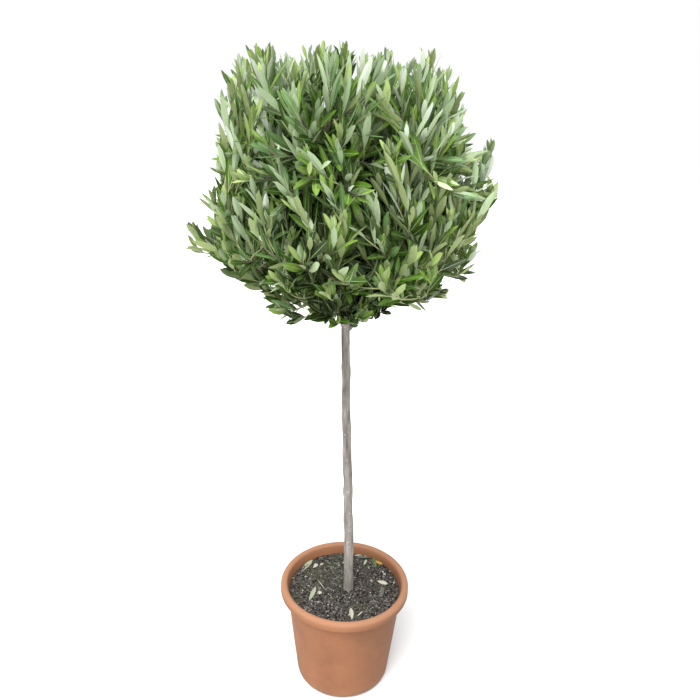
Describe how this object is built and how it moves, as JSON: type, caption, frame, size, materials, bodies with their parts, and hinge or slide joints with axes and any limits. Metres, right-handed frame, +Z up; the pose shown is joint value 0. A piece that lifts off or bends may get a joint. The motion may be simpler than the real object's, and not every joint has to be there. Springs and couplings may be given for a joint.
{
  "type": "potted olive tree",
  "caption": "Young olive tree with a clear slender trunk and a dense rounded head of narrow grey-green leaves, growing in compost in a round tapered terracotta-coloured pot.",
  "frame": {"origin": "centre of the pot's flat underside", "axes": "+Z up along the tree, -Y towards the viewer of the picture, +X to the viewer's right"},
  "size_m": [0.4827, 0.4366, 1.1378],
  "materials": {
    "pot": "matt, terracotta colour",
    "compost": "loose and dark",
    "bark": "grey bark",
    "foliage": "matt, grey-green"
  },
  "bodies": {
    "root": {"pot": "pot", "compost": "compost", "trunk": "bark", "bough_leader": "bark", "bough_lower_1": "bark", "bough_lower_2": "bark", "bough_lower_3": "bark", "bough_lower_4": "bark", "bough_lower_5": "bark", "bough_lower_6": "bark", "bough_upper_1": "bark", "bough_upper_2": "bark", "bough_upper_3": "bark", "bough_upper_4": "bark", "bough_upper_5": "bark", "foliage_leader": "foliage", "foliage_lower_1": "foliage", "foliage_lower_2": "foliage", "foliage_lower_3": "foliage", "foliage_lower_4": "foliage", "foliage_lower_5": "foliage", "foliage_lower_6": "foliage", "foliage_upper_1": "foliage", "foliage_upper_2": "foliage", "foliage_upper_3": "foliage", "foliage_upper_4": "foliage", "foliage_upper_5": "foliage"}
  },
  "joints": []
}
